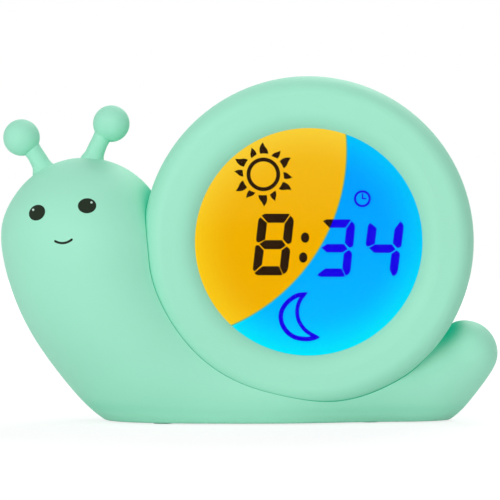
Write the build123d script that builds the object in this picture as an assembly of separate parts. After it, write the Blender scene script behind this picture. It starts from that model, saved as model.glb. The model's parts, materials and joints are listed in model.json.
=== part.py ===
"""Children's alarm clock with a night light, in the shape of a snail.

Clock frame, in millimetres: +X runs towards the tail, +Y towards the back and +Z up.
The clock stands on Z = 0. The snail's shell is a round drum with its axis along Y.
Drum parts are drawn in the drum frame: x as above, y up from the drum's axis, and
z = depth towards the viewer, so that the back of the drum has negative depth.
"""

from build123d import *
import math
import os

# Walls and clearances
wall = 2.4
saddle_wall = 2.0
slip = 0.1              # gap round a part that slides in or is dropped in
seat_gap = 0.3          # gap between the drum and the saddle that carries it
screw_slip = 0.05       # gap round a screw's shank, its thread not drawn

# Feet
pad_proud = 0.4
pad_thickness = 1.4
pad_radius = 3.6
foot_pad_places = ((-32.0, -13.0), (-32.0, 13.0), (44.0, -6.0), (44.0, 6.0))

# Drum: ring in front of the seam, pan behind it
drum_x = 21.4
drum_lift = 6.3         # from the floor to the drum's lowest point
drum_radius = 60.6
ring_depth = 26.0
pan_depth = 26.0
ring_shoulder_width = 7.0
ring_shoulder_depth = 10.0
pan_shoulder = 8.0
crest_inner_radius = 48.6
funnel_turn = 48.0      # angle through which the inside of the ring curves down to the window
seam_lip = 1.5
keel_height = 1.4
keel_width = 3.0
keel_start = 185
keel_sweep = 135

# Display stack, front to back
window_radius = 41.5
window_edge = 0.9
lens_radius = 43.8
lens_thickness = 2.0
gasket_width = 2.2
gasket_thickness = 0.8
glass_radius = 43.6
glass_thickness = 1.1
ledge_y = -39.6
film_thickness = 0.3
film_gap = 0.2
diffuser_thickness = 1.5
light_box_depth = 10.0
light_box_wall = 1.4
light_box_floor = 1.2
collar_wall = 1.8
board_thickness = 1.6

# Curved line between the day zone and the night zone
divide_centre = (-57.0, 34.4)
divide_radius = 70.9

# Backlight and display board
display_board_radius = 50.6
board_boss_radius = 2.6
board_boss_place = 48.0
board_boss_angles = (0, 90, 180, 270)
led_width = 3.5
led_height = 2.8
led_thickness = 1.7
led_slip = 0.3
day_leds = ((-24.0, 12.0), (-8.0, 22.0), (-22.0, -10.0))
night_leds = ((24.0, 16.0), (30.0, -8.0), (14.0, -14.0), (-2.0, -31.0))
zebra_length = 20.0
zebra_width = 2.0
zebra_y = -41.4
controller_x = -14.0
controller_y = 20.0
controller_size = 10.0
controller_thickness = 1.2
crystal_y = 9.0
crystal_width = 8.0
crystal_height = 3.2
crystal_thickness = 2.4
crystal_corner = 1.5
capacitor_xs = (4.0, 9.0)
capacitor_radius = 2.0
capacitor_height = 4.4
link_x = 31.5
link_y = 14.0
link_pitch = 2.54
link_pin = 0.64
link_pins = 6

# Screws: large ones for the housings, small ones for the boards
case_head_radius = 2.6
case_head_height = 1.8
case_shank_radius = 1.45
case_screw_length = 12.0
case_boss_radius = 3.2
case_column_radius = 3.9
case_bore_radius = 2.9
case_end_wall = 3.0
blind_end = 1.0         # plastic left beyond a blind bore, or room beyond a screw's tip
case_screw_place = 49.4
case_screw_angles = (45, 135, 225, 315)
drum_joint_depth = -1.0
small_head_radius = 1.9
small_head_height = 1.2
small_shank_radius = 0.95
small_screw_length = 5.0
small_boss_radius = 2.4

# Rear controls, on an arc round the drum's axis
button_board_depth = -15.4
button_board_outer = 45.2
button_board_inner = 28.5
button_board_low = -2.5
button_board_holes = ((43.0, 24), (43.0, 156), (31.6, 101))   # radius and angle of each
button_place = 37.5
button_step = 22
button_radius = 4.5
button_slip = 0.15
button_edge = 0.6
button_proud = 1.4
button_flange = 1.3
button_flange_thickness = 0.8
button_travel = 0.8
button_names = ("down_button", "up_button", "light_button", "alarm_button", "clock_button")
flange_gap = 0.1
switch_size = 6.0
switch_height = 3.0
switch_stem_radius = 1.6
switch_stem_height = 0.6

# Alarm slider and power socket, one each side of the drum's axis
side_control_x = 38.0
side_control_y = 5.0
slider_travel = 4.0
slider_grip_width = 3.4
slider_grip_height = 4.2
slider_proud = 1.0
slider_flange = 1.2
slider_groove = 0.5
slider_groove_pitch = 1.2
slider_post = 1.6
slot_corner = 0.8
slide_switch_width = 3.8
slide_switch_height = 9.0
slide_switch_depth = 3.4
slide_slot_depth = 1.3
usb_width = 9.0
usb_height = 3.3
usb_length = 7.6
usb_shell_wall = 0.4
usb_tongue = 0.7
usb_block = 1.5
usb_corner = 1.5
usb_port_gap = 0.35

# Speaker
speaker_y = 13.0
speaker_radius = 13.5
speaker_seat_radius = 12.2
speaker_rim = 2.0
speaker_depth = 7.0
speaker_sheet = 0.5
speaker_magnet_radius = 8.0
speaker_magnet_depth = 3.0
speaker_cone_radius = 11.6
speaker_cone_wall = 0.4
speaker_cap_radius = 4.0
speaker_cap_rise = 1.0
speaker_ear_x = 16.6
speaker_clamp_thickness = 1.2
speaker_screw_length = 2.9
grille_hole_radius = 0.9
grille_pitch = 4.2

# Battery bay: three AAA cells lying across the drum
cell_radius = 5.2
cell_length = 43.4
cell_nub_radius = 1.9
cell_nub_length = 1.1
cell_pitch = 11.0
first_cell_y = -13.0
cell_depth = -17.6
bay_half_width = 25.6
bay_top = -3.6
bay_bottom = -41.5
bay_wall = 1.6
bay_floor = -13.5
bay_front = -10.4
contact_thickness = 0.4
contact_size = 7.4
spring_radius = 2.6
spring_tip_radius = 1.4
spring_wire = 0.35
spring_turns = 3

# Battery door: hinges on its upper edge, where two tabs reach under the wall
door_top = -6.5
door_rim = 1.0
door_gap = 0.3
door_thickness = 2.0
tab_x = 14.0
tab_width = 8.0
tab_reach = 2.3
tab_thickness = 1.1
tab_neck = 1.5
tongue_width = 10.0
tongue_length = 7.4
ledge_thickness = 2.0
door_screw_drop = 3.4
door_head_radius = 2.6
door_head_depth = 1.0
door_shank_radius = 1.3
door_screw_reach = 4.5
door_screw_room = 0.45   # lets the captive screw swing out of its boss with the door
door_boss_depth = 8.0
door_rib_width = 1.6
door_rib_height = 0.9
cross_length = 3.9
cross_width = 0.7
cross_depth = 0.5

# Snail's body: a rounded tube from the head down the chest and along the foot
head_x = -61.4
head_z = 66.6
head_radius = 31.2
tip_x = 80.0
tip_z = 25.2
tip_radius = 12.1
tip_lean = 140
# Ribs across the tube down the chest: how far each one's outer end lies behind the front of
# the head and below its centre, its end towards the drum, and how much slimmer it is
chest_ribs = {
    "neck": (0.1, -1.6, (-26.9, 67.6), 0.2),
    "throat": (3.0, 14.6, (-25.4, 58.1), 0.4),
    "chest": (10.4, 32.4, (-21.9, 50.1), 1.2),
    "belly": (22.7, 50.3, (-15.9, 43.6), 2.5),
    "bend": (39.3, 66.6, (-7.9, 38.1), 4.0),
    "heel": (65.3, 74.9, (0.6, 35.1), 5.6),
}
# Ribs along the foot: outer end, end towards the drum, and half depth
foot_ribs = {
    "foot": ((21.6, -6.7), (21.6, 33.6), 25.0),
    "tail_root": ((50.6, -3.4), (41.0, 38.0), 21.6),
    "tail_bend": ((74.9, 0.8), (53.5, 31.5), 16.8),
    "tail": ((83.1, 9.0), (61.0, 31.7), 14.6),
}
head_latitudes = (87, 75, 60, 45, 30)
tail_latitudes = (0, 30, 55, 75, 87)
base_edge_radius = 2.0
shoulder_cut_radius = 56.0
body_screws = ((-60.0, 75.0), (-52.0, 25.0), (70.0, 16.0))
body_head_seat = 4.0

# Antennae: angle of the root from the top of the head, and the ball's place (x, z) from there
antennae = {
    "antenna_left": (-29.8, (-8.0, 11.6)),
    "antenna_right": (5.8, (6.7, 12.8)),
}
antenna_ball_radius = 6.8
antenna_bend = 22
# Stalk: its distance from the root and its radius there, then its distance short of the ball's
# centre and its radius there
antenna_foot = ((-3.0, 4.7), (-1.0, 4.6), (0.3, 4.1), (1.2, 3.7), (2.6, 3.42), (4.4, 3.3))
antenna_neck = ((7.2, 3.25), (6.0, 3.35), (4.9, 3.7))
antenna_peg_radius = 2.4
antenna_peg_length = 7.0
antenna_collar_radius = 3.4
antenna_collar_length = 2.0
antenna_collar_gap = 0.4

# Depths and places that follow from the values above
drum_z = drum_lift + drum_radius
funnel_curve = (crest_inner_radius - window_radius) / math.sin(math.radians(funnel_turn))
funnel_drop = funnel_curve * (1 - math.cos(math.radians(funnel_turn)))
lens_front = ring_depth - funnel_drop - window_edge
lens_back = lens_front - lens_thickness
lcd_front = lens_back - gasket_thickness
lcd_joint = lcd_front - glass_thickness
lcd_back = lcd_joint - glass_thickness
diffuser_front = lcd_back - film_thickness
diffuser_back = diffuser_front - diffuser_thickness
display_board_front = diffuser_back - light_box_depth
display_board_back = display_board_front - board_thickness
collar_inner = lens_radius + 2 * slip
collar_outer = collar_inner + collar_wall
pan_inside = wall - pan_depth
button_board_back = button_board_depth - board_thickness
switch_stem_end = button_board_back - switch_height - switch_stem_height
small_bore_end = button_board_depth - small_screw_length - 2 * slip
speaker_clamp_depth = pan_inside + speaker_rim
door_inside = door_thickness - pan_depth
door_seat = door_inside + slip
door_low = bay_bottom - door_rim
door_screw_y = door_low - door_screw_drop
cell_rows = [first_cell_y - cell_pitch * row for row in range(3)]
contact_face = bay_half_width - contact_thickness
case_head_seat = drum_joint_depth - case_end_wall
case_screw_end = body_head_seat - case_screw_length
behind = -2 * pan_depth


def polar(radius, degrees):
    """Point at a radius and an angle from +x."""
    return radius * math.cos(math.radians(degrees)), radius * math.sin(math.radians(degrees))


drum_screws = [polar(case_screw_place, angle) for angle in case_screw_angles]
board_screws = [polar(board_boss_place, angle) for angle in board_boss_angles]
button_places = [polar(button_place, 90 + button_step * step) for step in (-2, -1, 0, 1, 2)]
button_board_screws = [polar(radius, angle) for radius, angle in button_board_holes]

speaker_ears = [(-speaker_ear_x, speaker_y), (speaker_ear_x, speaker_y)]
slider_place = (-side_control_x, side_control_y)
socket_place = (side_control_x, side_control_y)

BASE = (Align.CENTER, Align.CENTER, Align.MIN)
drum_frame = Plane(origin=(drum_x, 0, drum_z), x_dir=(1, 0, 0), z_dir=(0, -1, 0))


# ---------------------------------------------------------------- helpers


def disc(radius, back, front, x=0, y=0):
    """Round solid between two depths."""
    return Pos(x, y, back) * Cylinder(radius, front - back, align=BASE)


def tube(outer, inner, back, front, x=0, y=0):
    """Ring-shaped solid between two depths."""
    return disc(outer, back, front, x, y) - disc(inner, back, front, x, y)


def sector(inner, outer, start, sweep, back, front):
    """Part of a ring between two depths, from an angle through a sweep."""
    rim = CenterArc((0, 0), outer, start, sweep)
    hub = CenterArc((0, 0), inner, start, sweep)
    outline = make_face([rim, Line(rim @ 1, hub @ 1), hub, Line(hub @ 0, rim @ 0)])
    return extrude(Pos(0, 0, back) * outline, front - back)


def block(width, height, back, front, x=0, y=0):
    """Rectangular solid between two depths."""
    return Pos(x, y, back) * Box(width, height, front - back, align=BASE)


def pill(width, height, back, front, x, y, corner):
    """Rectangular solid with rounded corners between two depths."""
    outline = Pos(x, y, back) * RectangleRounded(width, height, corner)
    return extrude(outline, front - back)


def below(y, back, front):
    """Everything below a height of the drum frame, between two depths."""
    size = 4 * drum_radius
    return block(size, size, back, front, 0, y - size / 2)


def inside_screw(seat, length, x, y):
    """Small screw driven from inside towards the back: its head bears on depth `seat`."""
    head = disc(small_head_radius, seat, seat + small_head_height, x, y)
    return head + disc(small_shank_radius, seat - length, seat, x, y)


def in_clock(part):
    """Places a part drawn in the drum frame into the clock frame."""
    return drum_frame.location * part


# ---------------------------------------------------------------- drum


def drum_profile(grow):
    """Half section of the drum: x = radius, y = depth, its outside moved out by `grow`."""
    radius = drum_radius + grow
    front = ring_depth + grow
    back = -pan_depth - grow
    crest = drum_radius - ring_shoulder_width
    rear_edge = drum_radius - pan_shoulder
    front_shoulder = EllipticalCenterArc(
        (crest, ring_depth - ring_shoulder_depth),
        ring_shoulder_width + grow,
        ring_shoulder_depth + grow,
        start_angle=0,
        arc_size=90,
    )
    rear_shoulder = CenterArc((rear_edge, pan_shoulder - pan_depth), pan_shoulder + grow, 270, 90)
    side = Line((radius, pan_shoulder - pan_depth), (radius, ring_depth - ring_shoulder_depth))
    return [
        Line((0, back), (rear_edge, back)),
        rear_shoulder,
        side,
        front_shoulder,
        Line((crest, front), (0, front)),
        Line((0, front), (0, back)),
    ]


def drum_solid(grow=0.0):
    """Solid drum with its outside moved out by `grow`."""
    return revolve(Plane.XZ * make_face(drum_profile(grow)), Axis.Z)


def funnel():
    """The space in front of the window, whose side curves up to the ring's crest."""
    centre = (crest_inner_radius, ring_depth - funnel_curve)
    curve = CenterArc(centre, funnel_curve, 90, funnel_turn)
    outline = [
        Line((0, ring_depth), (crest_inner_radius, ring_depth)),
        curve,
        Line(curve @ 1, (window_radius, lcd_front)),
        Line((window_radius, lcd_front), (0, lcd_front)),
        Line((0, lcd_front), (0, ring_depth)),
    ]
    return revolve(Plane.XZ * make_face(outline), Axis.Z)


def shell_ring():
    """Front of the snail's shell: a soft-edged ring with the window's collar inside."""
    front_half = disc(2 * drum_radius, 0, 2 * ring_depth)
    ring = (drum_solid() - drum_solid(-wall)) & front_half
    ring += disc(crest_inner_radius, lens_front, ring_depth) & drum_solid()
    under_crest = ring_depth - wall / 2
    ring += disc(collar_outer, display_board_front, under_crest)
    for x, y in board_screws:
        ring += disc(board_boss_radius, display_board_front, under_crest, x, y)
    for x, y in drum_screws:
        ring += disc(case_boss_radius, drum_joint_depth, under_crest, x, y)
    ring -= funnel()
    ring -= disc(collar_inner, display_board_front, lens_front)
    ring -= tube(drum_radius - wall / 2 + slip, drum_radius - 2 * wall, 0, seam_lip + 2 * slip)
    pilot_end = display_board_front + small_screw_length
    for x, y in board_screws:
        ring -= disc(small_shank_radius + screw_slip, display_board_front, pilot_end, x, y)
    bore_end = case_head_seat + case_screw_length + blind_end
    for x, y in drum_screws:
        ring -= disc(case_shank_radius + screw_slip, drum_joint_depth, bore_end, x, y)
    return ring


def battery_tub():
    """Battery bay standing on the pan's rear wall, open to the back."""
    height = bay_top - bay_bottom
    middle = (bay_top + bay_bottom) / 2
    tub_width = 2 * (bay_half_width + bay_wall)
    tub = block(tub_width, height + 2 * bay_wall, door_seat, bay_front, 0, middle)
    tub -= block(2 * bay_half_width, height, door_seat, bay_floor, 0, middle)
    for y in cell_rows:
        tub -= Pos(0, y, cell_depth) * Rot(0, 90, 0) * Cylinder(cell_radius + slip, 2 * bay_half_width)
    return tub


def door_opening():
    """Space cut from the rear wall for the battery door and its screw tongue."""
    width = 2 * (bay_half_width + door_rim)
    middle = (door_top + door_low) / 2
    opening = block(width, door_top - door_low, behind, door_seat, 0, middle)
    slot_width = tongue_width + 2 * door_gap
    slot_height = tongue_length + door_gap
    slot_middle = door_low - slot_height / 2
    return opening + block(slot_width, slot_height, behind, door_seat, 0, slot_middle)


def tongue_ledge():
    """Shelf and screw boss under the battery door's tongue."""
    width = tongue_width + 2 * (door_gap + bay_wall)
    low = door_low - tongue_length - door_gap - bay_wall
    middle = (door_low + low) / 2
    shelf_front = door_seat + ledge_thickness
    shelf = block(width, door_low - low, pan_inside - slip, shelf_front, 0, middle)
    boss_end = door_seat + door_boss_depth
    return shelf + disc(case_boss_radius, door_seat, boss_end, 0, door_screw_y)


def grille_holes():
    """Round holes in front of the speaker: one in the middle and two rings."""
    holes = [disc(grille_hole_radius, behind, pan_inside, 0, speaker_y)]
    for ring in (1, 2):
        for index in range(6 * ring):
            x, y = polar(ring * grille_pitch, index * 60 / ring)
            holes.append(disc(grille_hole_radius, behind, pan_inside, x, y + speaker_y))
    return holes


def pan_wall():
    """Wall of the pan with its seam lip, and the keel that the body's halves trap."""
    rear_half = disc(2 * drum_radius, behind, 0)
    pan = (drum_solid() - drum_solid(-wall)) & rear_half
    lip_radius = drum_radius - wall / 2
    pan += tube(lip_radius, drum_radius - wall, -wall, seam_lip)
    keel_radius = drum_radius + keel_height
    return pan + sector(lip_radius, keel_radius, keel_start, keel_sweep, -keel_width, 0)


def pan_posts():
    """Screw columns and bosses that stand on the pan's rear wall."""
    root = pan_inside - slip
    posts = [disc(case_column_radius, root, drum_joint_depth, x, y) for x, y in drum_screws]
    posts += [disc(small_boss_radius, root, button_board_back, x, y) for x, y in button_board_screws]
    posts += [disc(small_boss_radius, root, speaker_clamp_depth, x, y) for x, y in speaker_ears]
    return posts


def pan_bores():
    """Holes for the screws of the drum, the button board, the speaker and the door."""
    bores = []
    small_bore = small_shank_radius + screw_slip
    for x, y in drum_screws:
        bores.append(disc(case_bore_radius, behind, case_head_seat, x, y))
        bores.append(disc(case_shank_radius + slip, case_head_seat, drum_joint_depth, x, y))
    for x, y in button_board_screws:
        bores.append(disc(small_bore, small_bore_end, button_board_back, x, y))
    for x, y in speaker_ears:
        bores.append(disc(small_bore, pan_inside, speaker_clamp_depth, x, y))
    door_bore = door_shank_radius + door_screw_room
    door_bore_end = door_seat + door_boss_depth - blind_end
    bores.append(disc(door_bore, door_seat, door_bore_end, 0, door_screw_y))
    return bores


def control_openings():
    """Openings in the rear wall for the buttons, the slider and the power socket."""
    openings = [disc(button_radius + button_slip, behind, pan_inside, x, y) for x, y in button_places]
    slot_width = slider_grip_width + 2 * button_slip
    slot_height = slider_grip_height + slider_travel + 2 * button_slip
    slot = pill(slot_width, slot_height, behind, pan_inside, *slider_place, slot_corner)
    port_width = usb_width + 2 * usb_port_gap
    port_height = usb_height + 2 * usb_port_gap
    port_corner = usb_corner + usb_port_gap
    port = pill(port_width, port_height, behind, pan_inside, *socket_place, port_corner)
    return [*openings, slot, port]


def shell_rear():
    """Back of the snail's shell: a pan with the controls, speaker and battery bay."""
    pan = pan_wall() + pan_posts() + tongue_ledge()
    pan -= door_opening()
    pan += battery_tub()
    bay_height = door_top - bay_bottom
    bay_middle = (door_top + bay_bottom) / 2
    pan -= block(2 * bay_half_width, bay_height, door_seat, bay_floor, 0, bay_middle)
    pan -= pan_bores()
    pan -= control_openings()
    return pan - grille_holes()


# ---------------------------------------------------------------- display


def window_lens():
    """Clear round window behind the ring's edge."""
    return disc(lens_radius, lens_back, lens_front)


def window_gasket():
    """Foam ring between the window and the glass."""
    return tube(lens_radius, lens_radius - gasket_width, lcd_front, lens_back)


def ledged_disc(back, front):
    """Disc of the glass's size, cut off in a straight line above the contact ledge."""
    return disc(glass_radius, back, front) - below(ledge_y, back, front)


def lcd_panel():
    """Two glasses of the liquid crystal display, the rear one cut short for its contacts."""
    return [disc(glass_radius, lcd_joint, lcd_front), ledged_disc(lcd_back, lcd_joint)]


def day_filter():
    """Amber film behind the day zone, up to the curved dividing line."""
    film = ledged_disc(diffuser_front, lcd_back)
    return film & disc(divide_radius - film_gap / 2, diffuser_front, lcd_back, *divide_centre)


def night_filter():
    """Blue film behind the night zone, beyond the curved dividing line."""
    film = ledged_disc(diffuser_front, lcd_back)
    return film - disc(divide_radius + film_gap / 2, diffuser_front, lcd_back, *divide_centre)


def diffuser():
    """Opal plate that evens out the light."""
    return ledged_disc(diffuser_back, diffuser_front)


def light_box():
    """White reflector in two chambers, so that amber and blue light stay apart."""
    back = display_board_front
    floor = back + light_box_floor
    box = ledged_disc(back, diffuser_back)
    room = disc(glass_radius - light_box_wall, floor, diffuser_back)
    room -= below(ledge_y + light_box_wall, floor, diffuser_back)
    divider_outer = divide_radius + light_box_floor / 2
    divider_inner = divide_radius - light_box_floor / 2
    divider = tube(divider_outer, divider_inner, floor, diffuser_back, *divide_centre)
    box -= room - divider
    for x, y in day_leds + night_leds:
        box -= block(led_width + led_slip, led_height + led_slip, back, floor, x, y)
    return box


def display_board():
    """Round board behind the light box, notched round the drum's screw posts."""
    board = disc(display_board_radius, display_board_back, display_board_front)
    for x, y in drum_screws:
        board -= disc(case_boss_radius + door_gap, display_board_back, display_board_front, x, y)
    for x, y in board_screws:
        board -= disc(small_shank_radius + slip, display_board_back, display_board_front, x, y)
    return board


def backlight_leds():
    """Light-emitting diodes that stand in the holes of the light box's floor."""
    back = display_board_front
    front = back + led_thickness
    return [block(led_width, led_height, back, front, x, y) for x, y in day_leds + night_leds]


def zebra_strip():
    """Rubber connector from the glass's contact ledge to the display board."""
    return block(zebra_length, zebra_width, display_board_front, lcd_joint, 0, zebra_y)


def controller():
    """Clock chip, crystal and two capacitors on the back of the display board."""
    back = display_board_back
    crystal_back = back - crystal_thickness
    capacitor_back = back - capacitor_height
    chip = block(
        controller_size,
        controller_size,
        back - controller_thickness,
        back,
        controller_x,
        controller_y,
    )
    crystal = pill(
        crystal_width, crystal_height, crystal_back, back, controller_x, crystal_y, crystal_corner
    )
    capacitors = [
        disc(capacitor_radius, capacitor_back, back, x, controller_y) for x in capacitor_xs
    ]
    return [chip, crystal, *capacitors]


def board_link():
    """Pin header that joins the two boards: a plastic strip on each and six pins."""
    height = link_pitch * link_pins
    pins_back = button_board_depth + link_pitch
    pins_front = display_board_back - link_pitch
    front_strip = block(link_pitch, height, pins_front, display_board_back, link_x, link_y)
    rear_strip = block(link_pitch, height, button_board_depth, pins_back, link_x, link_y)
    first = link_y - (height - link_pitch) / 2
    pins = [
        block(link_pin, link_pin, pins_back, pins_front, link_x, first + link_pitch * index)
        for index in range(link_pins)
    ]
    return [front_strip, rear_strip, *pins]


# ---------------------------------------------------------------- rear controls


def button_board():
    """Arched board that carries the switches and the socket."""
    board = tube(button_board_outer, button_board_inner, button_board_back, button_board_depth)
    board -= below(button_board_low, button_board_back, button_board_depth)
    for x, y in button_board_screws:
        board -= disc(small_shank_radius + slip, button_board_back, button_board_depth, x, y)
    return board


def tact_switches():
    """Push switches under the buttons, their stems drawn pressed in."""
    switches = []
    body_end = button_board_back - switch_height
    for x, y in button_places:
        case = block(switch_size, switch_size, body_end, button_board_back, x, y)
        switches.append(case + disc(switch_stem_radius, switch_stem_end, body_end, x, y))
    return switches


def push_button(x, y):
    """Round button with a flange that keeps it in and a stub that presses its switch."""
    flange_back = pan_inside + flange_gap
    flange_front = flange_back + button_flange_thickness
    cap = disc(button_radius, -pan_depth - button_proud, flange_back, x, y)
    cap = fillet(cap.edges().sort_by(Axis.Z)[0], button_edge)
    cap += disc(button_radius + button_flange, flange_back, flange_front, x, y)
    stub_end = switch_stem_end - button_travel - flange_gap
    return cap + disc(switch_stem_radius, flange_front, stub_end, x, y)


def slide_switch():
    """Slide switch on the board, with a slot for the slider's post."""
    back = button_board_back - slide_switch_depth
    case = block(slide_switch_width, slide_switch_height, back, button_board_back, *slider_place)
    slot_width = slider_post + 4 * slip
    slot_height = slider_post + slider_travel + 4 * slip
    slot_end = back + slide_slot_depth
    return case - block(slot_width, slot_height, back, slot_end, *slider_place)


def alarm_slider():
    """Ridged slider that switches the alarm on and off, shown in its lower place."""
    x, middle_y = slider_place
    y = middle_y - slider_travel / 2
    flange_back = pan_inside + flange_gap
    flange_front = flange_back + button_flange_thickness
    flange_width = slider_grip_width + 2 * slider_flange
    flange_height = slider_grip_height + 2 * (slider_travel + slider_flange)
    grip_end = -pan_depth - slider_proud
    groove_end = grip_end + slider_groove
    slider = pill(slider_grip_width, slider_grip_height, grip_end, flange_back, x, y, slot_corner)
    slider += block(flange_width, flange_height, flange_back, flange_front, x, y)
    post_end = button_board_back - slide_switch_depth + slide_slot_depth - 3 * slip
    slider += block(slider_post, slider_post, flange_front, post_end, x, y)
    for step in (-1, 0, 1):
        groove_y = y + step * slider_groove_pitch
        slider -= block(slider_grip_width, slider_groove, grip_end, groove_end, x, groove_y)
    return slider


def usb_shell_tube():
    """Metal shell of the power socket, mouth to the back."""
    end = button_board_back - usb_length
    outer = pill(usb_width, usb_height, end, button_board_back, *socket_place, usb_corner)
    return outer - usb_bore(end, 0)


def usb_bore(end, shrink):
    """Inside of the socket's shell from a depth to the board, made smaller all round by `shrink`."""
    inset = usb_shell_wall + shrink
    width = usb_width - 2 * inset
    height = usb_height - 2 * inset
    return pill(width, height, end, button_board_back, *socket_place, usb_corner - inset)


def usb_insert():
    """Plastic block and contact tongue inside the socket."""
    base = usb_bore(button_board_back - usb_block, slip / 2)
    tongue_end = button_board_back - usb_length + 2 * usb_shell_wall
    width = usb_width - 2 * (usb_shell_wall + usb_tongue)
    return base + block(width, usb_tongue, tongue_end, button_board_back, *socket_place)


# ---------------------------------------------------------------- speaker


def speaker_frame():
    """Steel basket of the speaker: a flat rim and a sloping wall down to the magnet."""
    rim_back = pan_inside + speaker_rim
    magnet_front = pan_inside + speaker_depth - speaker_magnet_depth
    outline = Polyline(
        (speaker_radius, pan_inside),
        (speaker_radius, rim_back),
        (speaker_seat_radius, rim_back),
        (speaker_magnet_radius, magnet_front),
        (0, magnet_front),
        (0, magnet_front - speaker_sheet),
        (speaker_magnet_radius - speaker_sheet, magnet_front - speaker_sheet),
        (speaker_seat_radius - speaker_sheet, rim_back - speaker_sheet),
        (speaker_seat_radius - speaker_sheet, pan_inside),
        close=True,
    )
    return Pos(0, speaker_y, 0) * revolve(Plane.XZ * make_face(outline), Axis.Z)


def speaker_magnet():
    """Round magnet on the back of the basket."""
    front = pan_inside + speaker_depth
    return disc(speaker_magnet_radius, front - speaker_magnet_depth, front, 0, speaker_y)


def speaker_cone():
    """Paper cone with its domed middle."""
    edge_depth = pan_inside + speaker_rim / 4
    deep = edge_depth + speaker_rim
    outline = Polyline(
        (speaker_cone_radius, edge_depth),
        (speaker_cone_radius, edge_depth + speaker_cone_wall),
        (speaker_cap_radius, deep + speaker_cone_wall),
        (0, deep - speaker_cap_rise + speaker_cone_wall),
        (0, deep - speaker_cap_rise),
        (speaker_cap_radius, deep),
        close=True,
    )
    return Pos(0, speaker_y, 0) * revolve(Plane.XZ * make_face(outline), Axis.Z)


def speaker_clamp():
    """Plastic ring with two ears that screws down over the speaker's rim."""
    front = speaker_clamp_depth + speaker_clamp_thickness
    clamp = disc(speaker_radius, speaker_clamp_depth, front, 0, speaker_y)
    clamp += block(2 * speaker_ear_x, 2 * small_boss_radius, speaker_clamp_depth, front, 0, speaker_y)
    for x, y in speaker_ears:
        clamp += disc(small_boss_radius, speaker_clamp_depth, front, x, y)
        clamp -= disc(small_shank_radius + slip, speaker_clamp_depth, front, x, y)
    return clamp - disc(speaker_seat_radius + slip, speaker_clamp_depth, front, 0, speaker_y)


# ---------------------------------------------------------------- screws of the drum


def drum_screw_set():
    """Screws that join the pan to the ring, driven from behind."""
    seat = case_head_seat
    screws = []
    for x, y in drum_screws:
        head = disc(case_head_radius, seat - case_head_height, seat, x, y)
        screws.append(head + disc(case_shank_radius, seat, seat + case_screw_length, x, y))
    return screws


def display_board_screw_set():
    """Screws that hold the display board to the ring, driven from behind."""
    seat = display_board_back
    screws = []
    for x, y in board_screws:
        head = disc(small_head_radius, seat - small_head_height, seat, x, y)
        screws.append(head + disc(small_shank_radius, seat, seat + small_screw_length, x, y))
    return screws


def button_board_screw_set():
    """Screws that hold the button board to its bosses."""
    seat = button_board_depth
    return [inside_screw(seat, small_screw_length, x, y) for x, y in button_board_screws]


def speaker_screw_set():
    """Screws that hold the speaker's clamp."""
    seat = speaker_clamp_depth + speaker_clamp_thickness
    return [inside_screw(seat, speaker_screw_length, x, y) for x, y in speaker_ears]


# ---------------------------------------------------------------- batteries


def along_x(part, x, y):
    """Turns a part drawn along +z to lie along +x at the depth of the cells."""
    return Pos(x, y, cell_depth) * Rot(0, 90, 0) * part


def cell():
    """AAA cell along +z with its positive nub at the top, its nub's tip at z = 0."""
    body_end = -cell_nub_length
    body = Pos(0, 0, body_end - cell_length) * Cylinder(cell_radius, cell_length, align=BASE)
    return body + Pos(0, 0, body_end) * Cylinder(cell_nub_radius, cell_nub_length, align=BASE)


def batteries():
    """Three cells, laid head to tail."""
    laid = []
    for index, y in enumerate(cell_rows):
        turned = cell() if index % 2 == 0 else Rot(180, 0, 0) * cell()
        side = 1 if index % 2 == 0 else -1
        laid.append(along_x(turned, side * (contact_face - slip), y))
    return laid


def contact_plates():
    """Sprung-steel plates at both ends of the bay; two of them join neighbouring cells."""
    first, second, third = cell_rows
    middle = contact_face + contact_thickness / 2
    single = contact_size
    double = contact_size + cell_pitch
    right = ((first, single), ((second + third) / 2, double))
    left = (((first + second) / 2, double), (third, single))
    plates = []
    for side, rows in ((1, right), (-1, left)):
        for y, height in rows:
            plate = Box(contact_thickness, height, contact_size)
            plates.append(Pos(side * middle, y, cell_depth) * plate)
    return plates


def battery_springs():
    """Conical coil spring against the flat end of each cell."""
    gap = 2 * contact_face - cell_length - cell_nub_length - 3 * slip
    height = gap - 2 * spring_wire
    cone = math.degrees(math.atan((spring_tip_radius - spring_radius) / height))
    springs = []
    for index, y in enumerate(cell_rows):
        path = Helix(height / spring_turns, height, spring_radius, cone_angle=cone)
        wire = Plane(origin=path @ 0, z_dir=path % 0) * Circle(spring_wire)
        coil = Pos(0, 0, spring_wire + slip - contact_face) * sweep(wire, path)
        turned = coil if index % 2 == 0 else Rot(180, 0, 0) * coil
        springs.append(along_x(turned, 0, y))
    return springs


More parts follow.
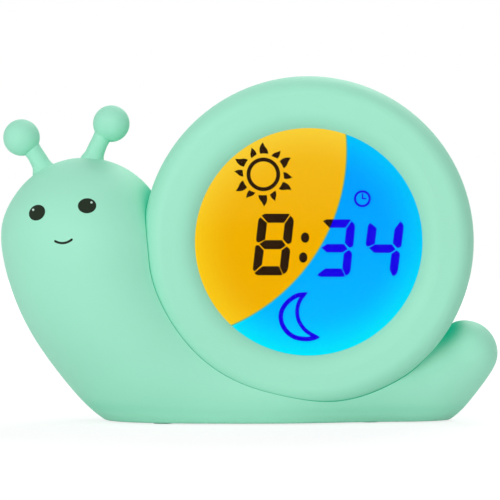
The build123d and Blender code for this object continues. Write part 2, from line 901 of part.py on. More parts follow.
def battery_door():
    """Cover of the battery bay, with two tabs at the top and a screw tongue at the bottom."""
    back = -pan_depth
    low = door_low + door_gap
    high = door_top - door_gap
    width = 2 * (bay_half_width + door_rim - door_gap)
    door = block(width, high - low, back, door_inside, 0, (high + low) / 2)
    tongue_end = low - tongue_length
    door += block(tongue_width, high - tongue_end, back, door_inside, 0, (high + tongue_end) / 2)
    tab_back = pan_inside + door_gap
    tab_front = tab_back + tab_thickness
    neck_low = high - tab_neck
    tab_high = door_top + tab_reach
    for x in (-tab_x, tab_x):
        door += block(tab_width, tab_neck, door_inside, tab_front, x, high - tab_neck / 2)
        door += block(tab_width, tab_high - neck_low, tab_back, tab_front, x, (tab_high + neck_low) / 2)
    rib_length = 2 * cell_pitch + cell_radius
    rib_front = door_inside + door_rib_height
    for x in (-bay_half_width / 2, bay_half_width / 2):
        door += block(door_rib_width, rib_length, door_inside, rib_front, x, cell_rows[1])
    door -= disc(door_head_radius + slip, back, back + door_head_depth, 0, door_screw_y)
    return door - disc(door_shank_radius + slip, back, door_inside, 0, door_screw_y)


def battery_door_screw():
    """Captive child-safety screw, flush in the door's tongue."""
    back = -pan_depth
    head_front = back + door_head_depth
    head = disc(door_head_radius, back, head_front, 0, door_screw_y)
    cross_front = back + cross_depth
    head -= block(cross_length, cross_width, back, cross_front, 0, door_screw_y)
    head -= block(cross_width, cross_length, back, cross_front, 0, door_screw_y)
    return head + disc(door_shank_radius, head_front, head_front + door_screw_reach, 0, door_screw_y)


# ---------------------------------------------------------------- snail's body


def half_section(centre, towards_drum, half_width, half_depth):
    """Front half of an elliptical section across the body's tube."""
    x_dir = Vector(towards_drum[0], 0, towards_drum[1])
    along_tube = x_dir.cross(Vector(0, -1, 0))
    section = Plane(origin=(centre[0], 0, centre[1]), x_dir=x_dir, z_dir=along_tube)
    arc = EllipticalCenterArc((0, 0), half_width, half_depth, start_angle=0, arc_size=180)
    return section * make_face([arc, Line(arc @ 1, arc @ 0)])


def dome_sections(centre, radius, axis, towards_drum, latitudes):
    """Half sections of a round end whose pole points along `axis`."""
    sections = []
    for latitude in latitudes:
        rise = radius * math.sin(math.radians(latitude))
        half = radius * math.cos(math.radians(latitude))
        place = (centre[0] + axis[0] * rise, centre[1] + axis[1] * rise)
        sections.append(half_section(place, towards_drum, half, half))
    return sections


def body_half(inset=0.0):
    """Front half of the body's form, its skin moved in by `inset`."""
    sections = dome_sections((head_x, head_z), head_radius - inset, (0, 1), (1, 0), head_latitudes)
    ribs = [
        ((head_x - head_radius + behind_head, head_z - drop), inner, head_radius - slimmer)
        for behind_head, drop, inner, slimmer in chest_ribs.values()
    ]
    for outer, inner, half_depth in [*ribs, *foot_ribs.values()]:
        across = (inner[0] - outer[0], inner[1] - outer[1])
        centre = ((inner[0] + outer[0]) / 2, (inner[1] + outer[1]) / 2)
        half_width = math.hypot(*across) / 2
        sections.append(half_section(centre, across, half_width - inset, half_depth - inset))
    lean = math.radians(tip_lean)
    along = (math.sin(lean), -math.cos(lean))
    across = (math.cos(lean), math.sin(lean))
    sections += dome_sections((tip_x, tip_z), tip_radius - inset, along, across, tail_latitudes)
    return loft(sections)


def under(height):
    """Everything below a height above the floor."""
    size = 8 * drum_radius
    return Pos(0, 0, height - size / 2) * Box(size, size, size)


def saddle(grow):
    """Space that the drum takes out of the body, moved out by `grow`."""
    bite = drum_solid(grow) + disc(shoulder_cut_radius + grow, 2 * behind, -2 * behind)
    return in_clock(bite)


def rod(radius, start_y, end_y, place):
    """Cylinder along Y through a point (x, z) of the clock frame."""
    length = end_y - start_y
    return Pos(place[0], (start_y + end_y) / 2, place[1]) * Rot(90, 0, 0) * Cylinder(radius, length)


def front_space():
    """Everything in front of the clock's middle plane."""
    size = 8 * drum_radius
    return Pos(0, -size / 2, 0) * Box(size, size, size)


def body_skin():
    """Front half of the body's outside, flat underneath with a soft edge."""
    half = body_half() - under(pad_proud)
    whole = half + mirror(half, about=Plane.XZ)
    base = whole.faces().sort_by(Axis.Z)[0]
    rounded = fillet(base.edges(), base_edge_radius)
    return (rounded & front_space()) - saddle(seat_gap)


def body_shell():
    """Front half shell of the body with its floor, its saddle wall and its foot pad pockets."""
    cavity = body_half(wall) - under(pad_proud + wall) - saddle(seat_gap + saddle_wall)
    shell = body_skin() - cavity
    for x, y in foot_pad_places:
        if y < 0:
            shell -= Pos(x, y, 0) * Cylinder(pad_radius + slip, pad_thickness, align=BASE)
    for angle, _ in antennae.values():
        shell -= antenna_peg(angle, antenna_peg_radius + slip, antenna_peg_length)
    return shell


def body_front(shell, skin):
    """Front shell with a blind post for each body screw."""
    for place in body_screws:
        shell += rod(case_boss_radius, -2 * head_radius, 0, place) & skin
    for place in body_screws:
        shell -= rod(case_shank_radius + screw_slip, case_screw_end - blind_end, 0, place)
    return shell


def body_rear(shell, skin):
    """Rear shell with a counterbored column for each screw and the groove for the keel."""
    shell = mirror(shell, about=Plane.XZ)
    skin = mirror(skin, about=Plane.XZ)
    for place in body_screws:
        shell += rod(case_column_radius, 0, 2 * head_radius, place) & skin
    for place in body_screws:
        shell -= rod(case_bore_radius, body_head_seat, 2 * head_radius, place)
        shell -= rod(case_shank_radius + slip, 0, body_head_seat, place)
    groove_outer = drum_radius + keel_height + 2 * slip
    groove = tube(groove_outer, drum_radius, -keel_width - 2 * slip, 0)
    return shell - in_clock(groove) - saddle(seat_gap)


def body_screw_set():
    """Screws that join the two halves of the body, driven from behind."""
    screws = []
    for place in body_screws:
        head = rod(case_head_radius, body_head_seat, body_head_seat + case_head_height, place)
        screws.append(head + rod(case_shank_radius, case_screw_end, body_head_seat, place))
    return screws


def foot_pads():
    """Rubber pads let into the underside."""
    return [
        Pos(x, y, 0) * Cylinder(pad_radius, pad_thickness, align=BASE) for x, y in foot_pad_places
    ]


# ---------------------------------------------------------------- antennae


def antenna_root(angle, height):
    """Point above or below the head's surface at an antenna's root, and the way out there."""
    outward = Vector(math.sin(math.radians(angle)), 0, math.cos(math.radians(angle)))
    return Vector(head_x, 0, head_z) + outward * (head_radius + height), outward


def antenna_peg(angle, radius, length, start=-1.0):
    """Cylinder into the head from `start` below its surface at an antenna's root."""
    foot, outward = antenna_root(angle, -start - length)
    return Plane(origin=foot, z_dir=outward) * Cylinder(radius, length, align=BASE)


def antenna(root_angle, ball):
    """Soft antenna: a curved stalk with a flared root, a ball, and a collared peg inside."""
    root, _ = antenna_root(root_angle, 0)
    chord = Vector(ball[0], 0, ball[1])
    turn = math.copysign(math.radians(antenna_bend), chord.X)
    curve_radius = chord.length / (2 * math.sin(turn / 2))
    start = math.atan2(chord.X, chord.Z) - turn / 2
    neck = [(chord.length - short, radius) for short, radius in antenna_neck]
    sections = []
    for along, radius in [*antenna_foot, *neck]:
        angle = start + along / curve_radius
        shift = Vector(math.cos(start) - math.cos(angle), 0, math.sin(angle) - math.sin(start))
        heading = Vector(math.sin(angle), 0, math.cos(angle))
        station = Plane(origin=root + shift * curve_radius, x_dir=(0, 1, 0), z_dir=heading)
        sections.append(station * Circle(radius))
    head = body_half()
    soft = loft(sections) + Pos(*(root + chord)) * Sphere(antenna_ball_radius)
    soft -= head
    soft -= mirror(head, about=Plane.XZ)
    soft += antenna_peg(root_angle, antenna_peg_radius, antenna_peg_length)
    collar_start = wall + antenna_collar_gap
    return soft + antenna_peg(root_angle, antenna_collar_radius, antenna_collar_length, collar_start)


# ---------------------------------------------------------------- assembly


def clock_parts():
    """Every piece of the clock by its name, placed in the clock frame."""
    skin = body_skin()
    shell = body_shell()
    parts = {
        "body_front": body_front(shell, skin),
        "body_rear": body_rear(shell, skin),
        "body_screws": body_screw_set(),
        "foot_pads": foot_pads(),
    }
    for name, (root_angle, ball) in antennae.items():
        parts[name] = antenna(root_angle, ball)
    drum_parts = {
        "shell_ring": shell_ring(),
        "shell_rear": shell_rear(),
        "display_window": window_lens(),
        "window_gasket": window_gasket(),
        "lcd_panel": lcd_panel(),
        "day_filter": day_filter(),
        "night_filter": night_filter(),
        "diffuser_plate": diffuser(),
        "light_box": light_box(),
        "backlight_leds": backlight_leds(),
        "zebra_strip": zebra_strip(),
        "display_board": display_board(),
        "controller_parts": controller(),
        "board_link": board_link(),
        "button_board": button_board(),
        "tact_switches": tact_switches(),
        "slide_switch": slide_switch(),
        "alarm_slider": alarm_slider(),
        "usb_shell": usb_shell_tube(),
        "usb_insert": usb_insert(),
        "speaker_frame": speaker_frame(),
        "speaker_magnet": speaker_magnet(),
        "speaker_cone": speaker_cone(),
        "speaker_clamp": speaker_clamp(),
        "batteries": batteries(),
        "contact_plates": contact_plates(),
        "battery_springs": battery_springs(),
        "battery_door": battery_door(),
        "battery_door_screw": battery_door_screw(),
        "drum_screws": drum_screw_set(),
        "display_board_screws": display_board_screw_set(),
        "button_board_screws": button_board_screw_set(),
        "speaker_screws": speaker_screw_set(),
    }
    for name, (x, y) in zip(button_names, button_places):
        drum_parts[name] = push_button(x, y)
    for name, part in drum_parts.items():
        pieces = part if isinstance(part, list) else [part]
        parts[name] = [in_clock(piece) for piece in pieces]
    return parts


os.makedirs("parts", exist_ok=True)
for name, part in clock_parts().items():
    whole = Compound(children=part) if isinstance(part, list) else part
    export_step(whole, f"parts/{name}.step")
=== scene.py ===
import json
import math

import bpy
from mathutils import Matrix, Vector
from mathutils.bvhtree import BVHTree


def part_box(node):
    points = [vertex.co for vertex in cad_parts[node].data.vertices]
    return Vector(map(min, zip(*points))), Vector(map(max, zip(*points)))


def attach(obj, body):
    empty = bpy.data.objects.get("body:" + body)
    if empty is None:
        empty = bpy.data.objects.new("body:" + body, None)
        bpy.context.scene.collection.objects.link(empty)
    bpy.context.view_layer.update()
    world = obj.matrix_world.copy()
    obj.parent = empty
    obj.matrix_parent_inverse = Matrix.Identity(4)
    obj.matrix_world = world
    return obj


# Looks of a children's alarm clock in the shape of a snail: the finish of every CAD piece,
# the picture on its lit display, the printed face and the signs on the rear buttons.
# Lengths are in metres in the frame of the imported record. Pixels are places in the
# photograph, from its upper left corner, and the clock's front looks towards -Y.

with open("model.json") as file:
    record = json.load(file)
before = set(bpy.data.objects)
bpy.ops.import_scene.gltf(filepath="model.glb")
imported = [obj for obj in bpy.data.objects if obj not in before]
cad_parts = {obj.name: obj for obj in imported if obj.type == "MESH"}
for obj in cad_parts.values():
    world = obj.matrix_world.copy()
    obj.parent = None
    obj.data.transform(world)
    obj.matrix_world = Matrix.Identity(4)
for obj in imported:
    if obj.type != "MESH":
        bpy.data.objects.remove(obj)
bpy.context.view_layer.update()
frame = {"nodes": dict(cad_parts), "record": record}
nodes = frame["nodes"]
scene = bpy.context.scene

MM = 0.001
HOUSING = "housing"


# ---------------------------------------------------------------- camera and photograph

PHOTO_SIDE = 500
PIXEL = 0.372 * MM              # one pixel of the photograph at the middle of the clock
CAMERA_DISTANCE = 1.1
CAMERA_RISE = math.radians(1.3)
SENSOR = 36.0
LOOK_AT = Vector((0, 0, 63.47 * MM))


def make_camera():
    """Long lens in front of the clock, a little above its middle."""
    data = bpy.data.cameras.new("camera")
    data.sensor_width = SENSOR
    data.lens = SENSOR * CAMERA_DISTANCE / (PHOTO_SIDE * PIXEL)
    camera = bpy.data.objects.new("camera", data)
    back = Vector((0, -math.cos(CAMERA_RISE), math.sin(CAMERA_RISE)))
    camera.location = LOOK_AT + back * CAMERA_DISTANCE
    camera.rotation_euler = (math.radians(90) - CAMERA_RISE, 0, 0)
    scene.collection.objects.link(camera)
    scene.camera = camera
    scene.view_settings.view_transform = "Standard"
    bpy.context.view_layer.update()
    return camera


camera = make_camera()


def sight_line(pixel):
    """Start and direction of the line of sight through a pixel of the photograph."""
    half = PHOTO_SIDE / 2
    across = (pixel[0] - half) * PIXEL / CAMERA_DISTANCE
    up = (half - pixel[1]) * PIXEL / CAMERA_DISTANCE
    direction = camera.matrix_world.to_3x3() @ Vector((across, up, -1))
    return camera.location.copy(), direction.normalized()


def on_plane(pixel, y):
    """Point that a pixel shows on the upright plane with this y."""
    start, direction = sight_line(pixel)
    return start + direction * ((y - start.y) / direction.y)


# ---------------------------------------------------------------- mesh helpers


def add_piece(name, points, faces, material, body=HOUSING, smooth=False):
    """Makes a mesh piece that rides on a body."""
    mesh = bpy.data.meshes.new(name)
    mesh.from_pydata([tuple(p) for p in points], [], faces)
    mesh.materials.append(material)
    if smooth:
        mesh.shade_smooth()
    piece = bpy.data.objects.new(name, mesh)
    scene.collection.objects.link(piece)
    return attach(piece, body)


def prism(outline, front, back):
    """Closed prism along Y from an outline of (x, z) points that run anticlockwise."""
    count = len(outline)
    points = [(x, front, z) for x, z in outline] + [(x, back, z) for x, z in outline]
    faces = [tuple(range(count)), tuple(reversed(range(count, 2 * count)))]
    for i in range(count):
        j = (i + 1) % count
        faces.append((j, i, count + i, count + j))
    return points, faces


MITRE_LIMIT = 1.9               # a mitred corner reaches out by at most this many half widths


def ribbon(path, widths, front, back, closed):
    """Closed band along a path of (x, z) points, with a width for each and mitred corners."""
    count = len(path)
    left, right = [], []
    for i in range(count):
        before = Vector(path[i - 1] if i or closed else path[0])
        here = Vector(path[i])
        after = Vector(path[(i + 1) % count] if i < count - 1 or closed else path[-1])
        into = (here - before).normalized() if here != before else (after - here).normalized()
        out = (after - here).normalized() if after != here else into
        normal = Vector((-into.y - out.y, into.x + out.x)).normalized()
        stretch = min(1 / max(normal.dot(Vector((-into.y, into.x))), 0.01), MITRE_LIMIT)
        left.append(here + normal * widths[i] / 2 * stretch)
        right.append(here - normal * widths[i] / 2 * stretch)
    rows = [(p.x, y, p.y) for y in (front, back) for side in (left, right) for p in side]
    faces = []
    for i in range(count if closed else count - 1):
        j = (i + 1) % count
        # Corners at this point and the next: front left, front right, back left, back right
        fl, fr, bl, br = (i + k * count for k in range(4))
        gl, gr, hl, hr = (j + k * count for k in range(4))
        faces += [(fl, fr, gr, gl), (bl, hl, hr, br), (fl, gl, hl, bl), (fr, br, hr, gr)]
    if not closed:
        last = count - 1
        faces += [(0, 2 * count, 3 * count, count)]
        faces += [(last, last + count, last + 3 * count, last + 2 * count)]
    return rows, faces


def joined(parts):
    """Several (points, faces) pairs as one."""
    points, faces = [], []
    for part_points, part_faces in parts:
        offset = len(points)
        points += part_points
        faces += [tuple(i + offset for i in face) for face in part_faces]
    return points, faces


def arc(centre, radius, start, end, count):
    """Points (x, z) along an arc, angles in degrees anticlockwise from +X."""
    angles = [math.radians(start + (end - start) * i / count) for i in range(count + 1)]
    return [(centre[0] + radius * math.cos(a), centre[1] + radius * math.sin(a)) for a in angles]


# ---------------------------------------------------------------- materials


def srgb(red, green, blue):
    """Linear colour of an sRGB colour given as 0 to 255."""
    def linear(value):
        value /= 255
        return value / 12.92 if value <= 0.04045 else ((value + 0.055) / 1.055) ** 2.4
    return (linear(red), linear(green), linear(blue), 1)


class Nodes:
    """A material's node tree with short calls to add and join nodes."""

    def __init__(self, name):
        self.material = bpy.data.materials.new(name)
        self.material.use_nodes = True
        self.tree = self.material.node_tree
        self.shader = self.tree.nodes["Principled BSDF"]

    def add(self, kind, settings=None, **inputs):
        """Adds a node with its settings, and links or sets its inputs."""
        node = self.tree.nodes.new(kind)
        for key, value in (settings or {}).items():
            setattr(node, key, value)
        for key, value in inputs.items():
            self.feed(node, key.replace("_", " "), value)
        return node

    def feed(self, node, key, value):
        """Links or sets an input by its name, or by its number as in i0."""
        numbered = key[0] == "i" and key[1:].isdigit()
        socket = node.inputs[int(key[1:]) if numbered else key]
        if isinstance(value, bpy.types.NodeSocket):
            self.tree.links.new(value, socket)
        else:
            socket.default_value = value

    def set(self, **inputs):
        """Links or sets inputs of the material's own shader."""
        for key, value in inputs.items():
            self.feed(self.shader, key.replace("_", " "), value)

    def math(self, operation, a, b=0.0):
        """Result of an operation on one or two values."""
        return self.add("ShaderNodeMath", {"operation": operation}, i0=a, i1=b).outputs[0]

    def place(self):
        """Place of the shaded point, in its object's own coordinates."""
        return self.add("ShaderNodeTexCoord").outputs["Object"]

    def noise(self, scale, detail=3.0, place=None):
        """Noise of so many waves a metre."""
        place = place or self.place()
        return self.add("ShaderNodeTexNoise", Vector=place, Scale=scale, Detail=detail).outputs["Fac"]

    def ramp(self, value, low, high, to_low=0.0, to_high=1.0):
        """Straight ramp from `to_low` at `low` to `to_high` at `high`, level beyond them."""
        node = self.add("ShaderNodeMapRange", Value=value, From_Min=low, From_Max=high)
        node.inputs["To Min"].default_value = to_low
        node.inputs["To Max"].default_value = to_high
        return node.outputs[0]

    def mix(self, share, first, second):
        """Colour that goes from the first to the second as the share goes from 0 to 1."""
        node = self.add("ShaderNodeMix", {"data_type": "RGBA"})
        self.feed(node, "Factor", share)
        for socket, colour in (("A", first), ("B", second)):
            target = [s for s in node.inputs if s.name == socket and s.type == "RGBA"][0]
            if isinstance(colour, bpy.types.NodeSocket):
                self.tree.links.new(colour, target)
            else:
                target.default_value = colour
        return [s for s in node.outputs if s.type == "RGBA"][0]

    def bump(self, height, strength, distance):
        """Lets a height from 0 to 1 raise the surface by up to the distance."""
        node = self.add("ShaderNodeBump", Height=height, Strength=strength, Distance=distance)
        self.set(Normal=node.outputs[0])


def shaded(colour, factor):
    """Darker or lighter colour."""
    return (colour[0] * factor, colour[1] * factor, colour[2] * factor, 1)


MOST_NOISE = (0.3, 0.7)         # most of a noise texture's values lie between these
# Waves a metre in the noise of each finish
DRIFT_SCALE = 18.0
SMUDGE_SCALE = 70.0
TRACK_SCALE = 160.0
FILM_SCALE = 240.0
SEGMENT_SCALE = 600.0
DRAWN_SCALE = 900.0
HAZE_SCALE = 900.0
PRINT_SCALE = 1500.0

SMUDGE_GLOSS = 0.04             # half the spread of a moulded surface's roughness
GRAIN_STRENGTH = 0.35
DRAWN_STRENGTH = 0.2            # relief of a metal's drawn lines
DRAWN_DEPTH = 0.01 * MM
DRAWN_TONES = (0.86, 1.05)      # a metal's darkest and palest lines as shares of its colour
DRAWN_GLOSS = (-0.06, 0.08)     # what its lines add to its roughness
FILM_TONE = 0.9                 # a film's darkest streaks as a share of its colour
TRACK_EDGE = (0.55, 0.65)       # part of the wave over which a board's track rises
TRACK_STRENGTH = 0.4
TRACK_DEPTH = 0.03 * MM

CREASE_REACH = 14.0 * MM        # how far a surface looks for what shuts it in
CREASE_SAMPLES = 8
CREASE_OPEN = 0.55              # openness at which the painted crease shade and glow start
CREASE_SHUT = 0.18              # openness at which it is complete
CREASE_LOW = 4.0 * MM           # below this height there is none, as only the floor is near
CREASE_HIGH = 9.0 * MM


def moulded(name, colour, roughness, grain_size, grain_depth, tone=0.04, deep=None, glow=0.0):
    """Moulded plastic or rubber: a fine sparked grain, and a faint unevenness of tone and gloss.

    With a crease colour given, the narrow creases that ambient occlusion finds take it as painted
    shade, and shine with it by `glow` as painted glow.
    """
    make = Nodes(name)
    place = make.place()
    drift = make.ramp(make.noise(DRIFT_SCALE, 2.0, place), *MOST_NOISE)
    skin = make.mix(drift, shaded(colour, 1 - tone), shaded(colour, 1 + tone / 2))
    # Painted shade and painted glow: narrow creases found by ambient occlusion, above the floor, take the
    # crease colour and emit it
    if deep:
        samples = {"samples": CREASE_SAMPLES}
        sky = make.add("ShaderNodeAmbientOcclusion", samples, Distance=CREASE_REACH).outputs["AO"]
        height = make.add("ShaderNodeSeparateXYZ", Vector=place).outputs["Z"]
        crease = make.math("MULTIPLY", make.ramp(sky, CREASE_OPEN, CREASE_SHUT),
                           make.ramp(height, CREASE_LOW, CREASE_HIGH))
        skin = make.mix(crease, skin, deep)
        make.set(Emission_Color=deep, Emission_Strength=make.math("MULTIPLY", crease, glow))
    make.set(Base_Color=skin)
    smudge = make.noise(SMUDGE_SCALE, 4.0, place)
    gloss = (roughness - SMUDGE_GLOSS, roughness + SMUDGE_GLOSS)
    make.set(Roughness=make.ramp(smudge, *MOST_NOISE, *gloss))
    grain = make.noise(1 / grain_size, 2.0, place)
    make.bump(grain, GRAIN_STRENGTH, grain_depth)
    return make.material


def metal(name, colour, roughness, stretch):
    """Metal with fine drawn lines, long on the axis with the small stretch."""
    make = Nodes(name)
    mapping = make.add("ShaderNodeMapping", Vector=make.place())
    mapping.inputs["Scale"].default_value = stretch
    lines = make.noise(DRAWN_SCALE, 3.0, mapping.outputs[0])
    tone = make.ramp(lines, *MOST_NOISE)
    dark, pale = (shaded(colour, share) for share in DRAWN_TONES)
    make.set(Base_Color=make.mix(tone, dark, pale), Metallic=1.0)
    gloss = (roughness + more for more in DRAWN_GLOSS)
    make.set(Roughness=make.ramp(lines, *MOST_NOISE, *gloss))
    make.bump(lines, DRAWN_STRENGTH, DRAWN_DEPTH)
    return make.material


MINT = srgb(161, 234, 205)
MINT_PAINTED_CREASE = srgb(14, 158, 126)  # painted shade and painted glow in the creases of the mint plastic
COATED_INDEX = 1.08             # refraction that gives the window its coating's weak mirror image
HAZE = 0.02


def clear_window():
    """Clear acrylic with an anti-reflection coating, and a trace of haze."""
    make = Nodes("clear_window")
    haze = make.noise(HAZE_SCALE, 2.0)
    make.set(Base_Color=(1, 1, 1, 1), Roughness=make.ramp(haze, *MOST_NOISE, 0.0, HAZE))
    make.set(IOR=COATED_INDEX, Transmission_Weight=1.0)
    return make.material


def film(name, colour):
    """Smooth film or glass with faint streaks."""
    make = Nodes(name)
    streak = make.noise(FILM_SCALE)
    make.set(Base_Color=make.mix(streak, shaded(colour, FILM_TONE), colour), Roughness=0.25)
    return make.material


def board():
    """Green solder mask over copper tracks."""
    make = Nodes("board_green")
    place = make.place()
    diagonal = {"bands_direction": "DIAGONAL"}
    wave = make.add("ShaderNodeTexWave", diagonal, Vector=place, Scale=TRACK_SCALE, Distortion=6.0)
    track = make.ramp(wave.outputs["Fac"], *TRACK_EDGE)
    make.set(Base_Color=make.mix(track, srgb(14, 74, 40), srgb(24, 104, 56)), Roughness=0.3)
    make.bump(track, TRACK_STRENGTH, TRACK_DEPTH)
    return make.material


SLOT_MATERIALS = {
    # Name, colour, roughness, size and depth of the grain, unevenness of tone, and the colour of
    # the painted crease shade and the strength of its painted glow
    "mint_shell": moulded("mint_shell", MINT, 0.6, 0.12 * MM, 0.02 * MM, 0.03, MINT_PAINTED_CREASE, 0.3),
    "mint_soft": moulded("mint_soft", MINT, 0.66, 0.12 * MM, 0.015 * MM, 0.03, MINT_PAINTED_CREASE, 0.3),
    "mint_button": moulded("mint_button", shaded(MINT, 0.97), 0.5, 0.2 * MM, 0.02 * MM, 0.03),
    "clear_window": clear_window(),
    "foam": moulded("foam", srgb(150, 226, 206), 0.95, 0.3 * MM, 0.1 * MM, 0.1),
    "lcd_glass": film("lcd_glass", srgb(190, 200, 196)),
    "amber_film": film("amber_film", srgb(245, 180, 14)),
    "blue_film": film("blue_film", srgb(12, 160, 250)),
    "opal_plate": moulded("opal_plate", srgb(240, 240, 236), 0.5, 0.4 * MM, 0.01 * MM),
    "white_plastic": moulded("white_plastic", srgb(236, 236, 232), 0.5, 0.3 * MM, 0.02 * MM),
    "board_green": board(),
    "black_plastic": moulded("black_plastic", srgb(24, 24, 26), 0.5, 0.25 * MM, 0.02 * MM, 0.15),
    "steel": metal("steel", srgb(196, 198, 200), 0.3, (1.0, 0.06, 1.0)),
    "rubber_grey": moulded("rubber_grey", srgb(168, 220, 204), 0.85, 0.3 * MM, 0.04 * MM, 0.1),
    "cone_paper": moulded("cone_paper", srgb(40, 40, 42), 0.9, 0.5 * MM, 0.08 * MM, 0.15),
    "cell_jacket": metal("cell_jacket", srgb(70, 74, 84), 0.35, (0.05, 1.0, 1.0)),
}
# The front shells take a brighter painted crease glow, as the photograph shows it between drum and body
FRONT_SHELLS = ("body_front", "shell_ring")
FRONT_SKIN = moulded("mint_front", MINT, 0.6, 0.12 * MM, 0.02 * MM, 0.03, MINT_PAINTED_CREASE, 0.6)


def finish_nodes():
    """Gives each CAD node the finish of its material slot."""
    for subpart in frame["record"]["subparts"]:
        name = subpart["node"]
        finish = FRONT_SKIN if name in FRONT_SHELLS else SLOT_MATERIALS[subpart["material_slot"]]
        mesh = nodes[name].data
        mesh.materials.clear()
        mesh.materials.append(finish)


finish_nodes()


# ---------------------------------------------------------------- display

GLASS_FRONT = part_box("lcd_panel")[0].y
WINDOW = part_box("display_window")
DISPLAY_CENTRE = ((WINDOW[0].x + WINDOW[1].x) / 2, (WINDOW[0].z + WINDOW[1].z) / 2)
PICTURE_INSET = 1.9 * MM        # inside the window's edge, where the picture's rim lies under the gasket
PICTURE_RADIUS = (WINDOW[1].x - WINDOW[0].x) / 2 - PICTURE_INSET
ZONE_FRONT = GLASS_FRONT - 0.1 * MM
ZONE_BACK = GLASS_FRONT - 0.01 * MM
SIGN_FRONT = GLASS_FRONT - 0.2 * MM
SIGN_BACK = GLASS_FRONT - 0.12 * MM

# Circle that the curved line between the two zones is part of
DIVIDE_PIXEL = (154.83, 149.74)
DIVIDE_RADIUS_PIXELS = 191.64


def spot(pixel):
    """(x, z) of a pixel of the photograph on the display's picture."""
    point = on_plane(pixel, ZONE_FRONT)
    return (point.x, point.z)


PICTURE_PIXEL = spot((251, 250))[0] - spot((250, 250))[0]
DIVIDE_CENTRE = spot(DIVIDE_PIXEL)
DIVIDE_RADIUS = DIVIDE_RADIUS_PIXELS * PICTURE_PIXEL
MEETING_HALF = 1.1 * PICTURE_PIXEL      # half the width of the blend between the zones
MEETING_COLOUR = srgb(96, 170, 110)
RIM_START = 0.66                # share of the picture's radius at which its paler rim starts
FALL_POWER = 1.5


def distance_from(make, centre):
    """Distance of the shaded point from an (x, z) point, and its height above it."""
    place = make.add("ShaderNodeSeparateXYZ", Vector=make.place())
    across = make.math("SUBTRACT", place.outputs["X"], centre[0])
    up = make.math("SUBTRACT", place.outputs["Z"], centre[1])
    squares = make.math("ADD", make.math("POWER", make.math("ABSOLUTE", across), 2.0),
                        make.math("POWER", make.math("ABSOLUTE", up), 2.0))
    return make.math("SQRT", squares), up


def meeting_line(make, colour):
    """Blends the two zones' colours along the thin line where they meet."""
    distance, _ = distance_from(make, DIVIDE_CENTRE)
    away = make.math("ABSOLUTE", make.math("SUBTRACT", distance, DIVIDE_RADIUS))
    return make.mix(make.ramp(away, 0, MEETING_HALF), MEETING_COLOUR, colour)


def lit(make, colour):
    """Sets a colour that shines by itself at the level at which it is written."""
    make.set(Base_Color=(0, 0, 0, 1), Roughness=0.6, Specular_IOR_Level=0.0)
    make.set(Emission_Color=colour, Emission_Strength=1.0)
    return make.material


def zone_material(name, high, low, high_rim, low_rim, top, bottom):
    """Backlit zone: from `high` at `top` down to `low` at `bottom`, and paler towards the rim.

    `top` and `bottom` are heights above the display's centre as shares of its radius.
    """
    make = Nodes(name)
    distance, up = distance_from(make, DISPLAY_CENTRE)
    down = make.ramp(up, top * PICTURE_RADIUS, bottom * PICTURE_RADIUS)
    fall = make.math("POWER", down, FALL_POWER)
    out = make.ramp(distance, RIM_START * PICTURE_RADIUS, PICTURE_RADIUS)
    edge = make.math("POWER", out, FALL_POWER)
    middle = make.mix(fall, high, low)
    rim = make.mix(fall, high_rim, low_rim)
    return lit(make, meeting_line(make, make.mix(edge, middle, rim)))


def ink_material():
    """Liquid crystal segments: nearly black on the day zone and deep blue on the night zone."""
    make = Nodes("segments")
    distance, _ = distance_from(make, DIVIDE_CENTRE)
    night = make.math("GREATER_THAN", distance, DIVIDE_RADIUS)
    streak = make.noise(SEGMENT_SCALE)
    day_ink = make.mix(streak, srgb(34, 20, 8), srgb(50, 30, 12))
    night_ink = make.mix(streak, srgb(18, 0, 227), srgb(26, 6, 235))
    return lit(make, make.mix(night, day_ink, night_ink))


DAY = zone_material("day_zone", srgb(244, 187, 24), srgb(242, 177, 0),
                    srgb(250, 209, 56), srgb(250, 203, 22), 0.95, 0.1)
NIGHT = zone_material("night_zone", srgb(0, 160, 254), srgb(0, 187, 255),
                      srgb(0, 196, 253), srgb(0, 230, 253), 0.5, -0.8)
INK = ink_material()


RIM_STEPS = 120
DIVIDE_STEPS = 90


def crossing_angles():
    """Direction from the display's centre to the dividing circle's, and half the angle between
    the points where that circle meets the picture's rim, seen from each centre.
    """
    dx = DIVIDE_CENTRE[0] - DISPLAY_CENTRE[0]
    dz = DIVIDE_CENTRE[1] - DISPLAY_CENTRE[1]
    apart = math.hypot(dx, dz)
    towards = math.degrees(math.atan2(dz, dx))
    picture = (apart**2 + PICTURE_RADIUS**2 - DIVIDE_RADIUS**2) / (2 * apart * PICTURE_RADIUS)
    divide = (apart**2 + DIVIDE_RADIUS**2 - PICTURE_RADIUS**2) / (2 * apart * DIVIDE_RADIUS)
    return towards, math.degrees(math.acos(picture)), math.degrees(math.acos(divide))


def display_zones():
    """The day zone and the night zone, which meet along an arc."""
    towards, rim_half, divide_half = crossing_angles()
    back = towards + 180
    first, last = towards - rim_half, towards + rim_half
    rim_day = arc(DISPLAY_CENTRE, PICTURE_RADIUS, first, last, RIM_STEPS)
    rim_night = arc(DISPLAY_CENTRE, PICTURE_RADIUS, last, first + 360, RIM_STEPS)
    divide = arc(DIVIDE_CENTRE, DIVIDE_RADIUS, back - divide_half, back + divide_half, DIVIDE_STEPS)
    zones = (
        ("display_day", rim_day + divide[1:-1], DAY, "amber_film"),
        ("display_night", rim_night + divide[-2:0:-1], NIGHT, "blue_film"),
    )
    for name, outline, material, slot in zones:
        points, faces = prism(outline, ZONE_FRONT, ZONE_BACK)
        add_piece(name, points, faces, material)


display_zones()

